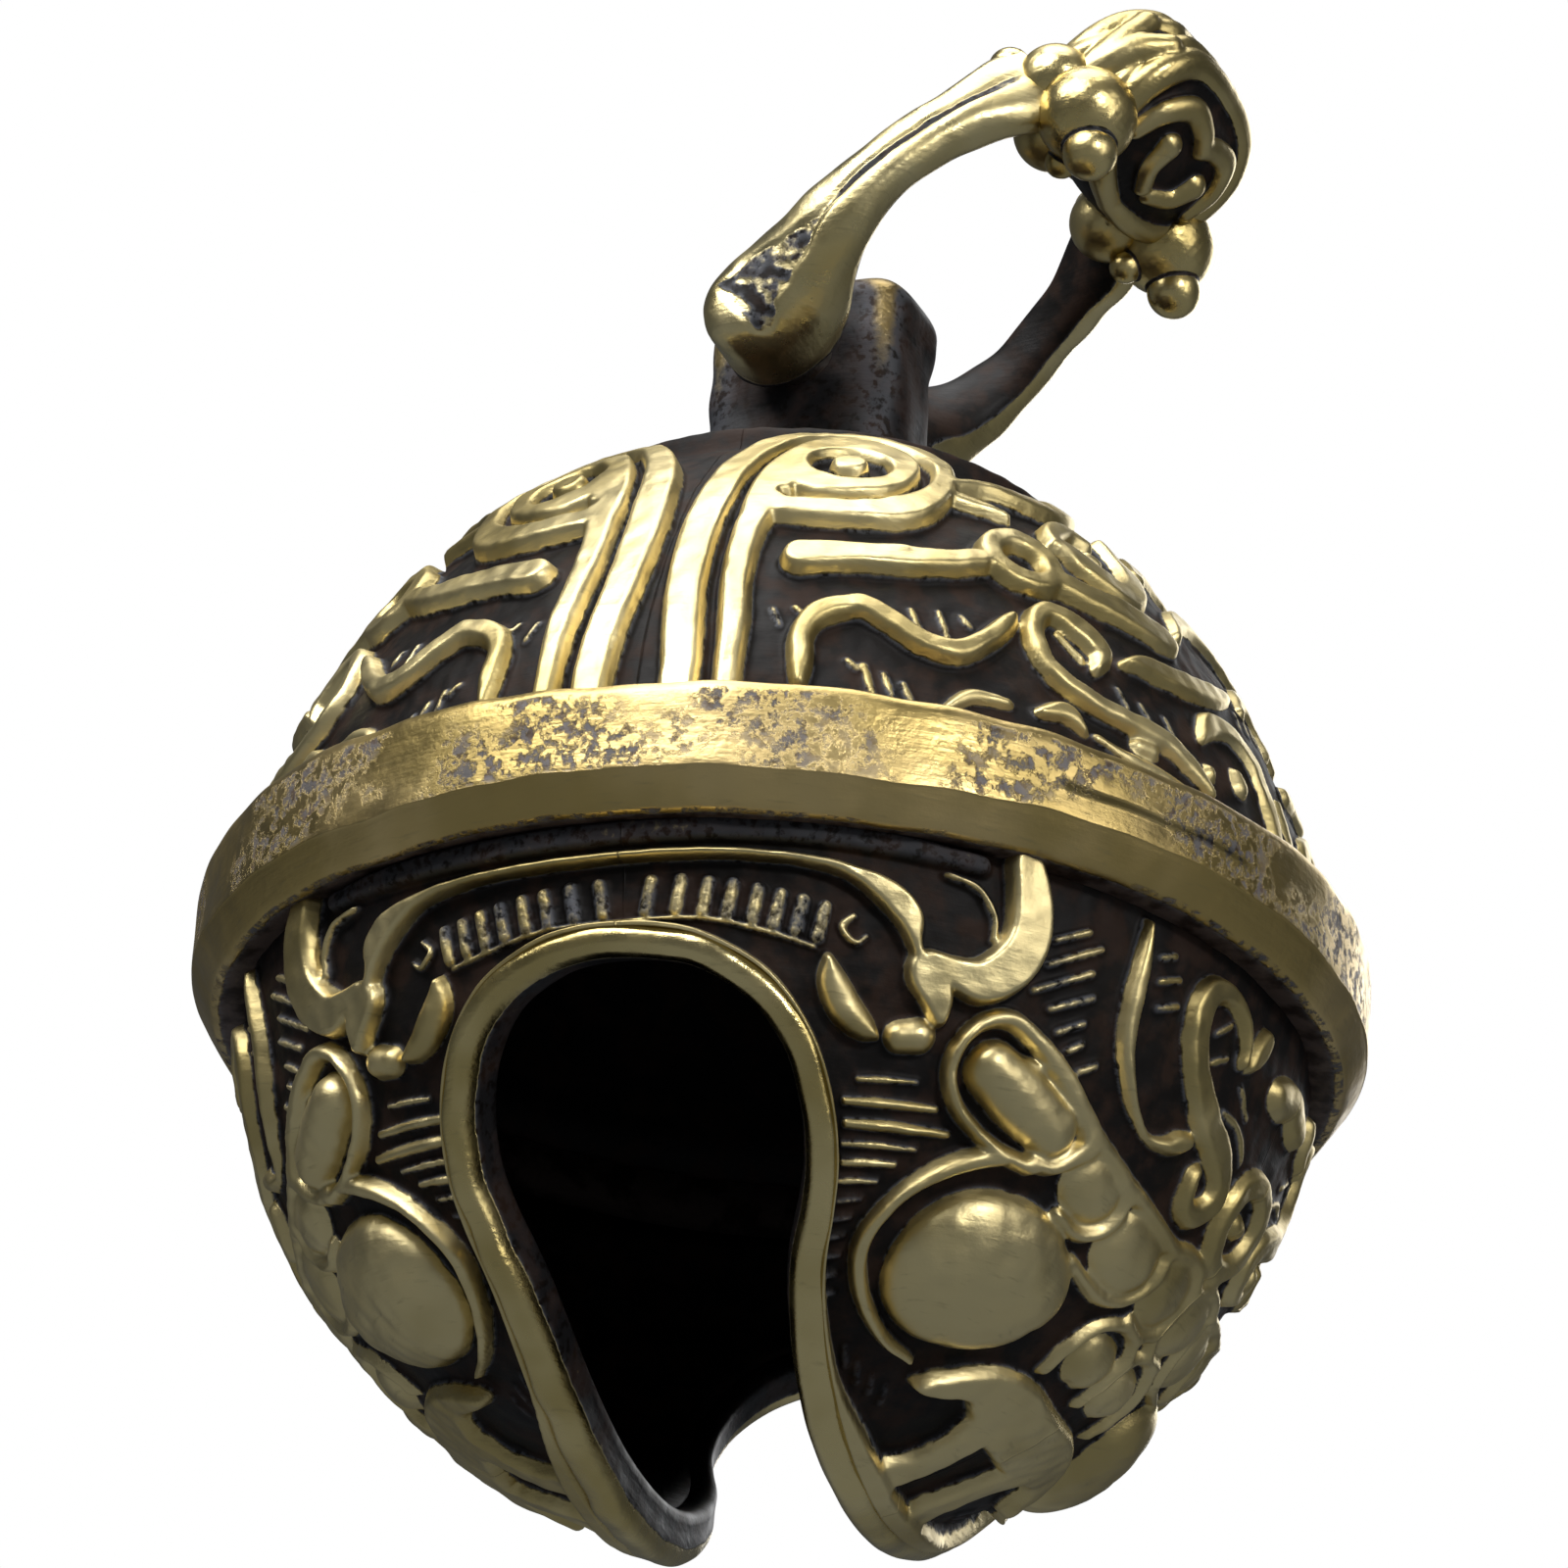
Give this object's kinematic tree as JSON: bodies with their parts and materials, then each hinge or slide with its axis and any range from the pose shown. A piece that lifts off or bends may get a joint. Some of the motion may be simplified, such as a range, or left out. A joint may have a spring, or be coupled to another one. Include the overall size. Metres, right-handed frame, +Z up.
{
  "type": "temple bell",
  "caption": "Round brass temple bell with a keyhole sound mouth, carved shells, an equator belt, a loose pellet and a swinging bail with a carved crown to hang it by.",
  "frame": {"origin": "lowest point of the bell on its own axis, under the slot that joins the two mouths", "axes": "+Z up the bell's axis to the hanger lug, the mouths face -Y and +Y, and the bail leans towards +X at rest"},
  "size_m": [0.028, 0.028, 0.0394],
  "materials": {
    "carved_brass": "cast relief, polished high spots over blackened recesses",
    "band_brass": "worn cast brass, grey-brown pores",
    "rim_brass": "hand-polished bead",
    "dark_brass": "dark patina with rubbed corners",
    "bail_brass": "polished outside, blackened inside",
    "crown_brass": "polished strands over blackened recesses",
    "boss_brass": "polished balls",
    "pin_steel": "turned, worn",
    "pellet_iron": "blackened, pitted"
  },
  "bodies": {
    "bell": {"upper_dome": "carved_brass", "lower_bowl": "carved_brass", "equator_band": "band_brass", "mouth_rim": "rim_brass", "hanger_lug": "dark_brass"},
    "bail": {"bail": "bail_brass", "bail_crown": "crown_brass", "boss_front_under": "boss_brass", "boss_front_over": "boss_brass", "boss_back_under": "boss_brass", "boss_back_over": "boss_brass", "pivot_pin": "pin_steel"},
    "pellet": {"sound_pellet": "pellet_iron"}
  },
  "joints": [
    {"name": "bail_swing", "type": "hinge", "parent": "bell", "child": "bail", "pos_m": [-0.0002, 0, 0.03068], "axis": [0.1045, 0.9945, 0], "range_deg": [-158, 54]},
    {"name": "pellet_roll", "type": "hinge", "parent": "bell", "child": "pellet", "pos_m": [0, 0, 0.01348], "axis": [0, 1, 0], "range_deg": [-60, 180]}
  ]
}
